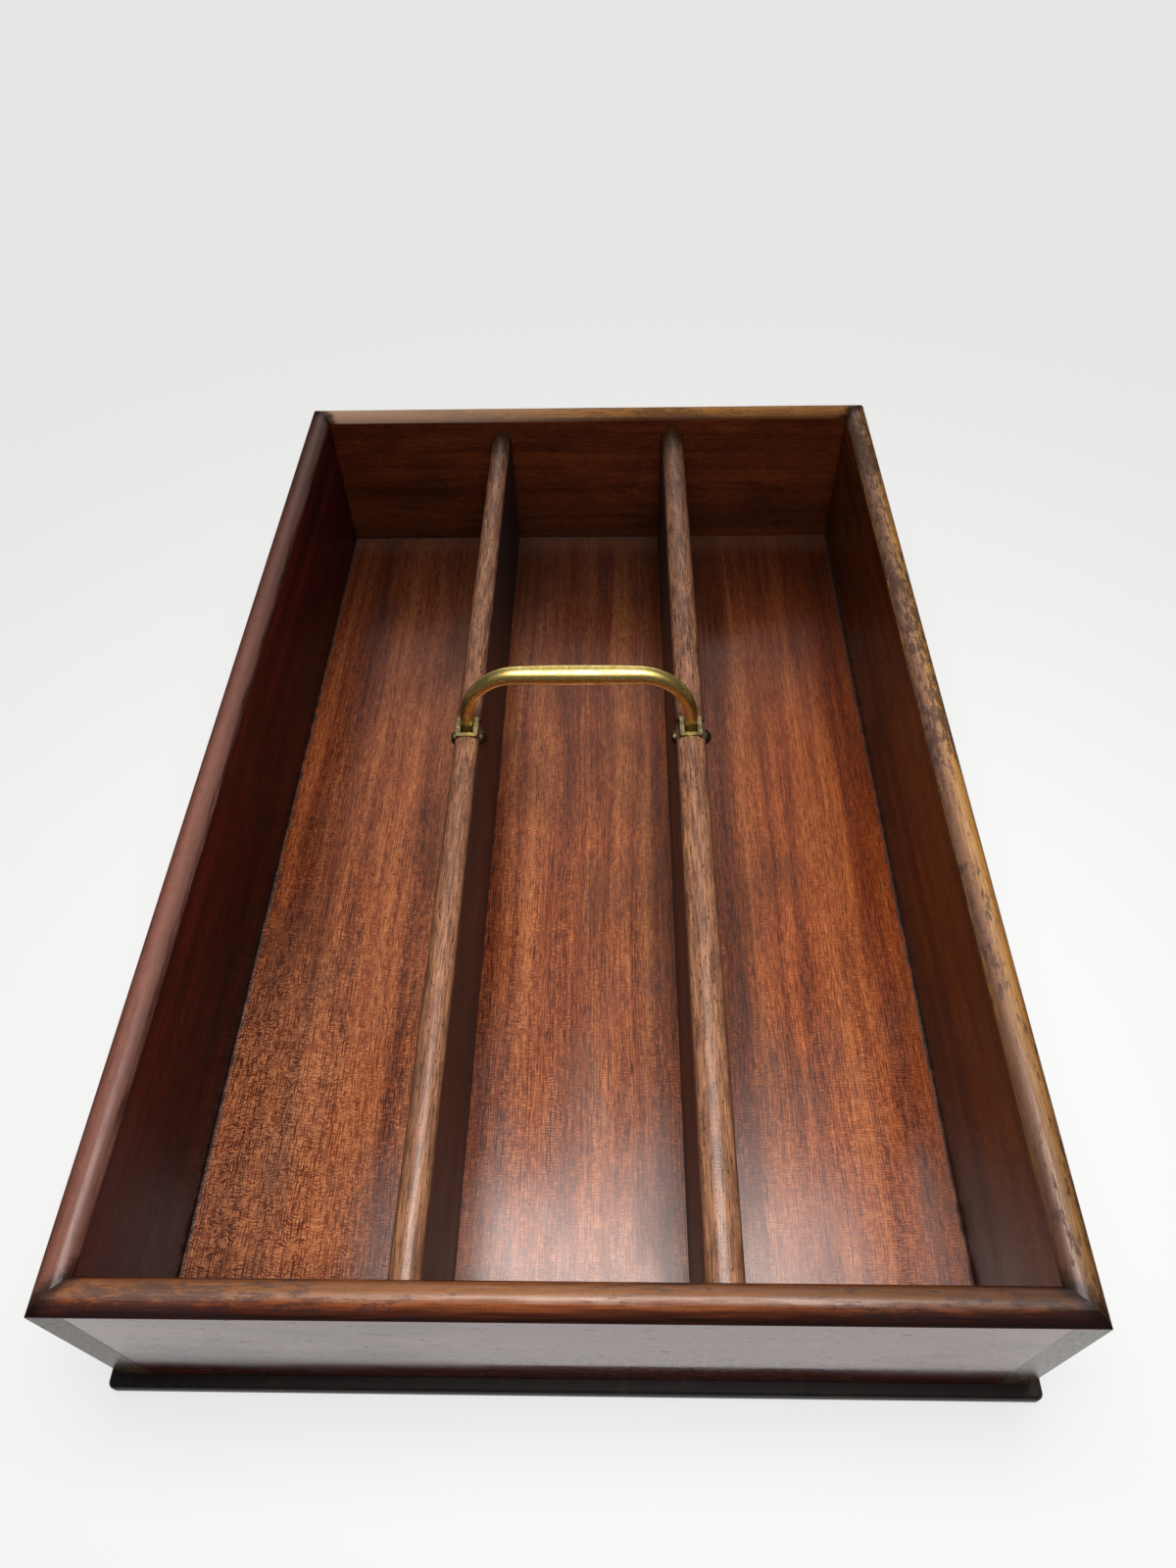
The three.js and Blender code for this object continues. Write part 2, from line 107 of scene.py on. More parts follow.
def polished_mahogany(name, grain, wood, sheen, relief, gloss, finish, weave=None, crinkle=None):
    """French-polished Cuban mahogany: ribbon figure, short dark pores, and rays that cross the fibres.

    The shellac gives the stripes depth and a soft mirror. Fibres, pores and rays are drawn about twice as
    coarse as in the wood, where a pore is 0.1 to 0.2 mm wide, so that they show. grain is the axis, 0 or 1,
    that the fibres run along. wood is dark, middle and light tone. sheen is the polish's roughness and gloss
    its specular level. finish(tree, place, pattern, cell, colour, roughness, height) returns the last three
    with what one board has of its own. weave(tree, place) is the strength of the rays, and
    crinkle(tree, place) how far their lines bend. Lengths are in mm.
    """
    material = bpy.data.materials.new(name)
    material.use_nodes = True
    tree = material.node_tree
    tree.nodes.clear()
    place = add(tree, "TexCoord").outputs["Object"]

    def pattern(across, along, detail=2.0, roughness=0.5, where=place):
        """Noise whose grains are that many millimetres wide across the fibres and long along them."""
        scale = [1 / (across * mm)] * 3
        scale[grain] = 1 / (along * mm)
        spot = add(tree, "Mapping", [where, (0, 0, 0), (0, 0, 0), scale])
        return add(tree, "TexNoise", {"Vector": spot, "Scale": 1.0, "Detail": detail, "Roughness": roughness})

    def moved(where, across, along, distance):
        """The place shifted every way by noise of that size, by up to half the distance."""
        shift = add(tree, "VectorMath", [pattern(across, along, 2.0).outputs["Color"], (0.5, 0.5, 0.5)],
                    operation="SUBTRACT")
        distance = add(tree, "Math", [distance, mm], operation="MULTIPLY")
        shift = add(tree, "VectorMath", {"Vector": shift, "Scale": distance}, operation="SCALE")
        return add(tree, "VectorMath", [where, shift], operation="ADD")

    def lined(noise, where, axis, spacing, strength):
        """Noise with even lines added to it, square to an axis and that many millimetres apart."""
        run = add(tree, "SeparateXYZ", [where]).outputs["XYZ"[axis]]
        line = add(tree, "Math", [run, 2 * np.pi / (spacing * mm)], operation="MULTIPLY")
        line = add(tree, "Math", [line], operation="SINE")
        return add(tree, "Math", [line, strength, noise], operation="MULTIPLY_ADD")

    wavy = moved(place, 30, 120, 6.0)
    ribbon = pattern(8, 300, 3.0, 0.6, wavy)
    thread = pattern(0.7, 45, 3.0, 0.65, wavy)
    fibre = lined(pattern(0.38, 5, 1.0, 0.5, wavy), wavy, 1 - grain, fibre_spacing, 0.07)
    pores = add(tree, "MapRange", [pattern(0.3, 1.3, 1.0, 0.5, wavy), 0.65, 0.71, 0.0, 1.0])
    veins = add(tree, "MapRange", [pattern(0.4, 11, 2.0, 0.5, wavy), 0.63, 0.70, 0.0, 0.8])
    bent = moved(moved(wavy, 1.8, 2.2, 0.8), 5, 8, crinkle(tree, place) if crinkle else 0.0)
    ripple = lined(pattern(2.2, 0.42, 1.0, 0.5, bent), bent, grain, ray_spacing, 0.09)
    strong = weave(tree, place) if weave else faint_weave
    strip = add(tree, "MapRange", [pattern(3.5, 150, 2.0, 0.6, wavy), 0.38, 0.60, 0.5, 1.1])
    strip = add(tree, "Math", [strip, strong], operation="MULTIPLY")
    cloud = pattern(24, 60, 3.0, 0.55)

    # Light cells lie where a ray crosses between two fibres
    cell = add(tree, "Math", [add(tree, "MapRange", [ripple, 0.40, 0.60, 0.0, 1.0]),
                              add(tree, "MapRange", [fibre, 0.36, 0.50, 0.0, 1.0])], operation="MULTIPLY")
    tone = add(tree, "Math", [ribbon, 1.5, add(tree, "Math", [fibre, 0.7, -1.1], operation="MULTIPLY_ADD")],
               operation="MULTIPLY_ADD")
    tone = add(tree, "Math", [thread, 1.0, tone], operation="MULTIPLY_ADD")
    tone = add(tree, "Math", [add(tree, "Math", [cell, 0.45], operation="SUBTRACT"), strip, tone],
               operation="MULTIPLY_ADD")
    dark, middle, light = wood
    colour = add(tree, "ValToRGB", [tone], stops=[(0.0, dark), (0.5, middle), (1.0, light)])
    cracks = add(tree, "Math", [1.0, cell], operation="SUBTRACT")
    cracks = add(tree, "Math", [cracks, strong], operation="MULTIPLY")
    cracks = add(tree, "Math", [cracks, 0.42], operation="MULTIPLY")
    colour = add(tree, "Mix", [cracks, colour, linear("#2c130b")], data_type="RGBA")
    colour = add(tree, "Mix", [veins, colour, linear("#2c130b")], data_type="RGBA")
    black_pores = add(tree, "Math", [pores, 0.75], operation="MULTIPLY")
    colour = add(tree, "Mix", [black_pores, colour, linear("#1c0b07")], data_type="RGBA")
    grime = add(tree, "MapRange", [cloud, 0.50, 0.72, 0.0, 0.45], interpolation_type="SMOOTHSTEP")
    colour = add(tree, "Mix", [grime, colour, linear("#30160d")], data_type="RGBA")
    spots = add(tree, "TexNoise", {"Vector": place, "Scale": 1 / (1.1 * mm), "Detail": 1.0})
    spots = add(tree, "MapRange", [spots, 0.735, 0.77, 0.0, 0.9], interpolation_type="SMOOTHSTEP")
    colour = add(tree, "Mix", [spots, colour, linear("#150a08")], data_type="RGBA")
    roughness = add(tree, "MapRange", [cloud, 0.35, 0.70, sheen - 0.04, sheen + 0.10])

    # The polish has sunk into the pores and stands in a fine skin over the fibres and rays
    height = add(tree, "Math", [pores, -0.8, add(tree, "Math", [cell, 0.5], operation="MULTIPLY")],
                 operation="MULTIPLY_ADD")
    if finish:
        colour, roughness, height = finish(tree, place, pattern, cell, colour, roughness, height)
    surface = add(tree, "Bump", {"Strength": relief, "Distance": 0.1 * mm, "Height": height})
    shader = add(tree, "BsdfPrincipled", {"Base Color": colour, "Roughness": roughness, "Normal": surface,
                                          "IOR": 1.5, "Specular IOR Level": gloss,
                                          "Specular Tint": linear("#fff4f0")})
    add(tree, "OutputMaterial", {"Surface": shader})
    return material


def tinted(tree, colour, amount, shade):
    """A colour mixed toward an sRGB shade by an amount."""
    return add(tree, "Mix", [amount, colour, linear(shade)], data_type="RGBA")


def merged_copy(name, node, material, softening):
    """A copy of a solid's mesh with its doubled corners joined and its sharp edges softened."""
    shape = bmesh.new()
    shape.from_mesh(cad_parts[node].data)
    bmesh.ops.remove_doubles(shape, verts=shape.verts, dist=same_point)
    bmesh.ops.dissolve_limit(shape, angle_limit=flat_angle, verts=shape.verts, edges=shape.edges)
    mesh = bpy.data.meshes.new(name)
    shape.to_mesh(mesh)
    shape.free()
    piece = bpy.data.objects.new(name, mesh)
    bpy.context.collection.objects.link(piece)
    mesh.materials.append(material)
    mesh.polygons.foreach_set("use_smooth", [True] * len(mesh.polygons))
    mesh.set_sharp_from_angle(angle=crease_angle)
    if softening:
        bevel = piece.modifiers.new("softened", "BEVEL")
        bevel.width = softening
        bevel.segments = 2
        bevel.limit_method = "ANGLE"
        bevel.angle_limit = softened_angle
    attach(piece, "tray")
    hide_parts(node)


def floor_finish(tree, place, pattern, cell, colour, roughness, height):
    """The floor's marks: broad tones, black dirt at its edges, a near-black plinth, painted light and shade.
    """
    axes = add(tree, "SeparateXYZ", [place])
    inner_x = -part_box("side_board_left")[1][0]
    inner_y = -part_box("end_board_front")[1][1]

    # Broad tones from the left wall to the right one, which wander along the board
    drift = add(tree, "Math", [pattern(9, 70, 3.0), 14 * mm, axes.outputs["X"]], operation="MULTIPLY_ADD")
    breadth = add(tree, "MapRange", [drift, 7 * mm - inner_x, 7 * mm + inner_x, 0.0, 1.0])
    tones = add(tree, "ValToRGB", [breadth], stops=[
        (0.02, "#dcd0d0"), (0.08, "#c8bebe"), (0.14, "#f2ecec"), (0.30, "#fffafa"), (0.37, "#d8d2d2"),
        (0.44, "#fbfafa"), (0.60, "#ebe9e9"), (0.72, "#dcdad8"), (0.84, "#fff4e0"), (0.93, "#dcc49c"),
        (0.98, "#ccb086")])
    colour = add(tree, "Mix", [1.0, colour, tones], data_type="RGBA", blend_type="MULTIPLY")

    # Painted light: the light cells are palest by the side walls at the front, most of all at the left
    away_x = add(tree, "Math", [inner_x, add(tree, "Math", [axes.outputs["X"]], operation="ABSOLUTE")],
                 operation="SUBTRACT")
    painted_front_light = add(tree, "MapRange", [away_x, 20 * mm, 75 * mm, 0.36, 0.0], interpolation_type="SMOOTHSTEP")
    nearer = add(tree, "MapRange", [axes.outputs["Y"], -0.13, -0.01, 1.0, 0.0],
                 interpolation_type="SMOOTHSTEP")
    leftward = add(tree, "MapRange", [axes.outputs["X"], -0.02, 0.04, 1.0, 0.3])
    painted_front_light = add(tree, "Math", [painted_front_light, nearer], operation="MULTIPLY")
    painted_front_light = add(tree, "Math", [painted_front_light, cell], operation="MULTIPLY")
    painted_front_light = add(tree, "Math", [painted_front_light, leftward], operation="MULTIPLY")
    colour = tinted(tree, colour, painted_front_light, "#dc9464")

    # Black dirt with a ragged border lies where the floor meets the walls
    away_y = add(tree, "Math", [inner_y, add(tree, "Math", [axes.outputs["Y"]], operation="ABSOLUTE")],
                 operation="SUBTRACT")
    inside = add(tree, "Math", [away_x, away_y], operation="MINIMUM")
    ragged = add(tree, "TexNoise", {"Vector": place, "Scale": 1 / (4 * mm), "Detail": 4.0})
    edge = add(tree, "Math", [ragged, -3.2 * mm, inside], operation="MULTIPLY_ADD")
    dirt = add(tree, "MapRange", [edge, -1.7 * mm, 0.2 * mm, 0.95, 0.0], interpolation_type="SMOOTHSTEP")
    colour = tinted(tree, colour, dirt, "#130a08")

    # Painted shade at the back, a painted front-rim shadow behind the front wall, dust at the back wall's
    # foot
    old = add(tree, "MapRange", [axes.outputs["X"], -0.11, -0.06, 0.6, 0.78])
    back = add(tree, "MapRange", [axes.outputs["Y"], 0.04, 0.17, 0.0, old], interpolation_type="SMOOTHSTEP")
    colour = tinted(tree, colour, back, "#2a110c")
    # Painted shadow of the front rim on the strip behind the front wall
    front = add(tree, "MapRange", [axes.outputs["Y"], -0.184, -0.164, 0.4, 0.0],
                interpolation_type="SMOOTHSTEP")
    colour = tinted(tree, colour, front, "#1c0d09")
    dust = add(tree, "MapRange", [axes.outputs["Y"], 0.174, 0.188, 0.0, 0.12],
               interpolation_type="SMOOTHSTEP")
    colour = tinted(tree, colour, dust, "#8a6a58")

    # Outside the walls the plinth is near black, mottled and dull
    outside = add(tree, "MapRange", [inside, -1 * mm, -6 * mm, 0.0, 1.0])
    mottle = add(tree, "TexNoise", {"Vector": place, "Scale": 1 / (6 * mm), "Detail": 6.0, "Roughness": 0.7})
    plinth = add(tree, "ValToRGB", [mottle], stops=[(0.40, "#0f0b0a"), (0.60, "#1d1813"), (0.8, "#4d3b24")])
    colour = add(tree, "Mix", [outside, colour, plinth], data_type="RGBA")
    roughness = add(tree, "Mix", [dirt, roughness, 0.95])
    return colour, add(tree, "Mix", [outside, roughness, 0.6]), height


def floor_weave(tree, place):
    """The strength of the rays on the floor: full at the front left, falling to the right and the back."""
    axes = add(tree, "SeparateXYZ", [place])
    side = add(tree, "MapRange", [axes.outputs["X"], -0.06, 0.09, 0.52, 0.3])
    return add(tree, "Math", [add(tree, "MapRange", [axes.outputs["Y"], -0.10, 0.10, 1.0, 0.45]), side],
               operation="MULTIPLY")


def floor_crinkle(tree, place):
    """How far the ray lines bend: more in the left compartment, where the figure is a herringbone."""
    axes = add(tree, "SeparateXYZ", [place])
    return add(tree, "MapRange", [axes.outputs["X"], -0.075, -0.03, 6.5, 1.2])


floor_mahogany = polished_mahogany("crazed polished mahogany floor", 1, ("#4a2014", "#984b25", "#ce804b"),
                                   0.22, 0.12, 0.6, floor_finish, floor_weave, floor_crinkle)
merged_copy("plinth_board", "base_board", floor_mahogany, base_edge_softening)


# Dust
# Pale grains that have gathered on the floor at the foot of the left wall, and a few in the open.
# Each is a small eight-sided lump that lies on the board.

grains_at_wall = 360
grains_in_open = 60
grains = grains_at_wall + grains_in_open
grain_range = (0.05, 0.17)
wall_foot = -0.1233
wall_clearance = 0.0002
drift_width = 0.0011
drift_ends = (-0.188, -0.02)
floor_ends = (-0.185, 0.18)
floor_sides = (-0.12, 0.12)
divider_line = 0.0412
divider_clearance = 0.008

random = np.random.default_rng(41)
grain_sizes = random.uniform(*grain_range, grains) * mm
grain_y = np.concatenate([random.uniform(*drift_ends, grains_at_wall),
                          random.uniform(*floor_ends, grains_in_open)])
from_wall = np.abs(random.normal(0, drift_width, grains_at_wall))
grain_x = np.concatenate([wall_foot + from_wall + wall_clearance,
                          random.uniform(*floor_sides, grains_in_open)])
under_divider = np.abs(np.abs(grain_x) - divider_line) < divider_clearance
grain_x = np.where(under_divider, grain_x + 2 * divider_clearance, grain_x)
corners = np.array([[1, 0, 0], [0, 1, 0], [-1, 0, 0], [0, -1, 0], [0, 0, 1], [0, 0, -0.6]])
shapes = corners * random.uniform(0.6, 1.4, (grains, 6, 1)) * grain_sizes[:, None, None]
centres = np.column_stack([grain_x, grain_y, np.full(grains, floor_level) + 0.5 * grain_sizes])
sides = np.array([[0, 1, 4], [1, 2, 4], [2, 3, 4], [3, 0, 4], [1, 0, 5], [2, 1, 5], [3, 2, 5], [0, 3, 5]])
faces = (sides + 6 * np.arange(grains)[:, None, None]).reshape(-1, 3)
mesh = bpy.data.meshes.new("dust_grains")
mesh.from_pydata((shapes + centres[:, None]).reshape(-1, 3).tolist(), [], faces.tolist())
dust_grains = bpy.data.objects.new("dust_grains", mesh)
bpy.context.collection.objects.link(dust_grains)
dust = bpy.data.materials.new("dust, dry")
dust.use_nodes = True
tree = dust.node_tree
tree.nodes.clear()
shade = add(tree, "TexNoise", {"Vector": add(tree, "TexCoord").outputs["Object"], "Scale": 1 / (2 * mm)})
shade = add(tree, "ValToRGB", [shade], stops=[(0.35, "#8c7660"), (0.6, "#d8cbb8")])
add(tree, "OutputMaterial", {"Surface": add(tree, "BsdfPrincipled", {"Base Color": shade, "Roughness": 0.9})})
mesh.materials.append(dust)
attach(dust_grains, "tray")


# Side and end boards
# Four mahogany boards on edge. The sides run full length and lap the ends, so their end grain shows at
# the front. The top of each is worked to a round, mitred at the corners, with a crisp arris either side.

side_low, side_high = (np.array(corner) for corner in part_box("side_board_right"))
end_high = np.array(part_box("end_board_back")[1])
board_thickness = side_high[0] - side_low[0]
rim_rise = 3.5 * mm
rim_shoulder = side_high[2] - rim_rise
mitre_gap = 0.05 * mm
weld_distance = 0.002 * mm
arris_round = 0.25 * mm
rim_wear = 0.08 * mm
rim_hollow_depth = 0.16 * mm
rim_hollow_span = 14 * mm
dry_slope_share = 0.36
wall_relief = 0.08
dry_gloss = 0.08


def uneven(points, size, amount, seed):
    """Smooth unevenness: the mean of eight sine waves with random directions and phases, at most amount."""
    random = np.random.default_rng(seed)
    waves = random.normal(size=(3, 8)) / size
    phases = random.uniform(0, 2 * np.pi, 8)
    return amount * np.sin(points @ waves + phases).mean(axis=-1)


def round_top_outline(thickness, bottom, top, rise, turns=26):
    """Right half of a board's section as (x, z), from its foot to its crown.

    The face is a vertical line and the top an arc of radius (half squared + rise squared) / (2 rise),
    which meets the face at an arris. The point at the shoulder is given twice, below and above.
    """
    half = thickness / 2
    radius = (half ** 2 + rise ** 2) / (2 * rise)
    shoulder = top - rise
    levels = np.linspace(bottom, shoulder, 12)
    face = np.column_stack([np.full_like(levels, half), levels])
    start = np.arcsin((radius - rise) / radius)
    angles = np.linspace(start, np.pi / 2 - 0.02, turns)
    arc = np.column_stack([radius * np.cos(angles), top - radius + radius * np.sin(angles)])
    return face, arc


def closed_loft(rings):
    """Faces through a stack of rings, each ring joined to the next, with ruled ends.

    Point k of a ring faces point -1 - k across the section, so an end is a ladder of quads between them.
    """
    count, points = rings.shape[:2]
    index = np.arange(count * points).reshape(count, points)
    painted_end_light = np.roll(index, -1, axis=1)
    skin = np.stack([index[:-1], painted_end_light[:-1], painted_end_light[1:], index[1:]], axis=-1).reshape(-1, 4)
    half = points // 2
    near = index[0]
    far = index[-1]
    rung = np.arange(half - 1)
    start = np.stack([near[rung], near[points - 1 - rung], near[points - 2 - rung], near[rung + 1]], axis=-1)
    finish = np.stack([far[rung], far[rung + 1], far[points - 2 - rung], far[points - 1 - rung]], axis=-1)
    return np.concatenate([skin, start, finish])


def surface_piece(name, points, faces, material, body, nodes=(), sharp=30):
    """A mesh object from arrays of points and quads, with doubled points joined and flat slivers removed."""
    mesh = bpy.data.meshes.new(name)
    mesh.from_pydata(points.reshape(-1, 3).tolist(), [], faces.tolist())
    shape = bmesh.new()
    shape.from_mesh(mesh)
    bmesh.ops.remove_doubles(shape, verts=shape.verts, dist=weld_distance)
    bmesh.ops.dissolve_degenerate(shape, edges=shape.edges, dist=weld_distance)
    bmesh.ops.recalc_face_normals(shape, faces=shape.faces)
    shape.to_mesh(mesh)
    shape.free()
    piece = bpy.data.objects.new(name, mesh)
    bpy.context.collection.objects.link(piece)
    mesh.materials.append(material)
    mesh.polygons.foreach_set("use_smooth", [True] * len(mesh.polygons))
    mesh.set_sharp_from_angle(angle=np.radians(sharp))
    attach(piece, body)
    if nodes:
        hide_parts(*nodes)
    return piece


def wall_board(name, node, along, woods, seed):
    """One wall: its section carried along axis 0 or 1, its ends cut square below and mitred above.

    A side runs to the full length below the shoulder. An end stops at the sides' inner faces there.
    Above the shoulder every point's run ends on the 45 degree line through the tray's corner. The woods
    are those of the faces, of the rim, and of the rim's outer slope.
    """
    low, high = (np.array(corner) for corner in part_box(node))
    across = 1 - along
    middle = (low[across] + high[across]) / 2
    face, arc = round_top_outline(board_thickness, low[2], high[2], rim_rise)
    right = np.concatenate([face, arc])
    ring = np.concatenate([right, right[::-1] * (-1, 1)])
    over = np.concatenate([np.zeros(len(face)), np.ones(len(arc))])
    over = np.concatenate([over, over[::-1]])
    outer_along, outer_across = (side_high[1], side_high[0]) if along == 1 else (side_high[0], end_high[1])
    inner_along = outer_along - board_thickness
    sideways = np.abs(ring[:, 0] + middle)
    mitred = outer_along - (outer_across - sideways) - (mitre_gap * np.sqrt(2) if along == 0 else 0)
    square = outer_along if along == 1 else inner_along
    reach = np.where(over == 1, mitred, square)
    steps = np.linspace(-1, 1, 161)
    points = np.empty((len(steps), len(ring), 3))
    points[..., across] = ring[:, 0] + middle
    points[..., along] = steps[:, None] * reach
    points[..., 2] = ring[:, 1]
    crown = np.clip((points[..., 2] - rim_shoulder) / rim_rise, 0, 1)
    points[..., 2] -= crown * (rim_wear + uneven(points, rim_hollow_span, rim_hollow_depth, seed))
    piece = surface_piece(name, points, closed_loft(points), woods[0], "tray", [node], sharp=16)
    for wood in woods[1:]:
        piece.data.materials.append(wood)
    middles = np.empty(len(piece.data.polygons) * 3)
    piece.data.polygons.foreach_get("center", middles)
    middles = middles.reshape(-1, 3)
    rounded = middles[:, 2] > rim_shoulder
    outside = np.abs(middles[:, across]) > outer_across - dry_slope_share * board_thickness
    piece.data.polygons.foreach_set("material_index", rounded * (1 + outside))
    bevel = piece.modifiers.new("eased arrises", "BEVEL")
    bevel.width = arris_round
    bevel.segments = 2
    bevel.limit_method = "ANGLE"
    bevel.angle_limit = softened_angle
    return piece


def rim_and_ends(across, bands, ends, stain, amount, crazed):
    """Finish of a wall: its rounded rim, which hands have worn, and at the sides the sawn ends.

    ends: painted light and shade, each with its amount, at the rim's lower and upper end along X or Y.
    bands are tones across the rim from its inner arris to its outer one, each with its share of the
    width. Over them lie streaks, stains of one tone, lines of crazing and dirt in the mitres.
    """
    def finish(tree, place, pattern, cell, colour, roughness, height):
        axes = add(tree, "SeparateXYZ", [place])
        out = add(tree, "Math", [axes.outputs["XY"[across]]], operation="ABSOLUTE")
        along = add(tree, "Math", [axes.outputs["YX"[across]]], operation="ABSOLUTE")
        outer, length = ((side_high[0], end_high[1]), (end_high[1], side_high[0]))[across]

        # Tones across the rim, drawn out in streaks along it
        share = add(tree, "MapRange", [out, outer - board_thickness, outer, 0.0, 1.0])
        streak = pattern(1.1, 22, 4.0, 0.65)
        share = add(tree, "Math", [add(tree, "Math", [streak, 0.5], operation="SUBTRACT"), 0.45, share],
                    operation="MULTIPLY_ADD")
        worn = add(tree, "ValToRGB", [share], stops=bands)

        # Dark threads, stains and lines of crazing, and at each end painted light and shade
        threads = pattern(0.28, 12, 4.0, 0.65)
        worn = tinted(tree, worn, add(tree, "MapRange", [threads, 0.44, 0.62, 0.0, 0.7 * amount]), "#3a2013")
        blot = add(tree, "Math", [pattern(14, 50, 1.0), 0.6, pattern(1.7, 6, 6.0, 0.72)],
                   operation="MULTIPLY_ADD")
        blot = add(tree, "MapRange", [blot, 0.88 - 0.12 * amount, 0.98 - 0.12 * amount, 0.0, amount])
        worn = tinted(tree, worn, blot, stain)
        lines = add(tree, "MapRange", [cell, 0.0, 0.5, crazed(tree, axes), 0.0])
        worn = tinted(tree, worn, lines, "#24140f")
        # Painted light and shade at the ends: a painted reflection where pale, painted shade where dark
        for way, (shade, most) in zip((-1, 1), ends):
            painted_end_light = add(tree, "Math", [axes.outputs["YX"[across]], way / length], operation="MULTIPLY")
            painted_end_light = add(tree, "MapRange", [painted_end_light, -0.1, 0.95, 0.0, most])
            worn = tinted(tree, worn, painted_end_light, shade)

        # Dirt in the mitres, which lie where the ways to the end and to the outer face are equal
        corner = add(tree, "Math", [add(tree, "Math", [length, along], operation="SUBTRACT"),
                                    add(tree, "Math", [outer, out], operation="SUBTRACT")],
                     operation="SUBTRACT")
        ragged = add(tree, "TexNoise",
                     {"Vector": place, "Scale": 1 / (5 * mm), "Detail": 5.0, "Roughness": 0.7})
        corner = add(tree, "Math", [ragged, -9 * mm, corner], operation="MULTIPLY_ADD")
        dirt = add(tree, "MapRange", [corner, -3.6 * mm, 1.5 * mm, 0.85, 0.0],
                   interpolation_type="SMOOTHSTEP")
        worn = tinted(tree, worn, dirt, "#1b0f0b")

        # Below the shoulder are the board's own faces, darker at their foot
        above = add(tree, "MapRange",
                    [axes.outputs["Z"], rim_shoulder - 0.1 * mm, rim_shoulder + 0.5 * mm, 0.0, 1.0])
        foot = add(tree, "MapRange", [axes.outputs["Z"], 8 * mm, 45 * mm, 0.45, 0.0],
                   interpolation_type="SMOOTHSTEP")
        colour = tinted(tree, colour, foot, "#150907")
        colour = add(tree, "Mix", [above, colour, worn], data_type="RGBA")

        # The rim is glossy between its threads, duller where it is stained, and dull where it is bare
        dull = add(tree, "MapRange", [threads, 0.38, 0.62, 0.24, 0.26 + 0.3 * amount])
        dull = add(tree, "Math", [blot, 0.35, dull], operation="MULTIPLY_ADD")
        bare = add(tree, "MapRange", [share, 0.50, 0.64, 0.0, 1.0])
        dull = add(tree, "Mix", [bare, dull, 0.8])
        roughness = add(tree, "Mix", [above, roughness, dull])

        # Short black dashes on the faces, and dents in the rim
        dashes = add(tree, "MapRange", [pattern(0.4, 4, 1.0), 0.71, 0.76, 0.0, 0.8])
        dashes = add(tree, "Mix", [above, dashes, 0.0])
        colour = tinted(tree, colour, dashes, "#170b08")
        roughness = add(tree, "Mix", [dashes, roughness, 0.9])
        dents = add(tree, "Math", [pattern(1.6, 7, 4.0, 0.6), above], operation="MULTIPLY")
        height = add(tree, "Math", [dents, 9.0 * amount, height], operation="MULTIPLY_ADD")
        if across == 1:
            return colour, roughness, height

        # Sawn ends of the side boards at the front and back
        speck = add(tree, "TexNoise",
                    {"Vector": place, "Scale": 1 / (1.6 * mm), "Detail": 6.0, "Roughness": 0.75})
        grey = add(tree, "ValToRGB", [speck], stops=[(0.30, "#2c241c"), (0.52, "#5a4a38"), (0.70, "#85735c")])
        away = add(tree, "Math", [axes.outputs["Y"]], operation="ABSOLUTE")
        facing = add(tree, "Math", [away, side_high[1] - 0.35 * mm], operation="GREATER_THAN")
        below = add(tree, "Math", [axes.outputs["Z"], rim_shoulder - 0.1 * mm], operation="LESS_THAN")
        cut = add(tree, "Math", [add(tree, "Math", [facing, below], operation="MULTIPLY"), 0.8],
                  operation="MULTIPLY")
        pitted = add(tree, "MapRange", [speck, 0.34, 0.44, 0.5, 0.14])
        colour = add(tree, "Mix", [cut, colour, grey], data_type="RGBA")
        seam = add(tree, "MapRange", [share, 0.0, 0.09, 0.95, 0.0])
        colour = tinted(tree, colour, add(tree, "Math", [seam, cut], operation="MULTIPLY"), "#0d0806")
        return colour, add(tree, "Mix", [cut, roughness, pitted]), height
    return finish


def rim_crinkle(tree, place):
    """The old polish on the walls has crazed all over, so its lines wander by millimetres."""
    return 2.5


def crazed_a_little(tree, axes):
    """Faint crazing all along."""
    return 0.15


def crazed_at_the_back(tree, axes):
    """Crazing that grows toward the back, where the hands rest least."""
    return add(tree, "MapRange", [axes.outputs["Y"], -0.06, 0.06, 0.08, 0.5])


def wall_woods(name, along, wood, sheen, gloss, bands, ends, stain, amount, crazed):
    """The three woods of a wall: its faces, its polished rim, and the rim's outer slope, rubbed dry.

    gloss is that of the faces and that of the rim. The dry slope has hardly any left.
    """
    finish = rim_and_ends(1 - along, bands, ends, stain, amount, crazed)
    kinds = {"polished": gloss[0], "rubbed by hands": gloss[1], "rubbed dry": dry_gloss}
    return [polished_mahogany(name + " mahogany, " + kind, along, wood, sheen, wall_relief, level, finish,
                              crinkle=rim_crinkle) for kind, level in kinds.items()]


left_rim = [(0.02, "#3a1c17"), (0.10, "#6e4a40"), (0.50, "#8e5e50"), (0.75, "#7e4c40"), (0.97, "#4c261c")]
right_rim = [(0.00, "#a8743e"), (0.06, "#785846"), (0.30, "#a8785a"), (0.55, "#d4a06a"), (0.75, "#c88e48"),
             (0.97, "#946234")]
front_rim = [(0.02, "#1f0f0b"), (0.12, "#7a461f"), (0.36, "#945e34"), (0.55, "#a06c4c"), (0.66, "#94502c"),
             (0.82, "#56281a"), (0.97, "#1e0d08")]
back_rim = [(0.03, "#5a341c"), (0.20, "#c08040"), (0.50, "#d09450"), (0.80, "#b87a3c"), (0.97, "#5c361e")]
# The ends passed to each wall are painted light and shade; the back rim's pale left end is a painted
# reflection
wall_board("lapped_side_left", "side_board_left", 1,
           wall_woods("dark red", 1, ("#23090a", "#421210", "#5c1d14"), 0.20, (0.05, 0.34), left_rim,
                      (("#7c4a3c", 0.1), ("#2a1410", 0.5)), "#5c3730", 0.3, crazed_a_little), 3)
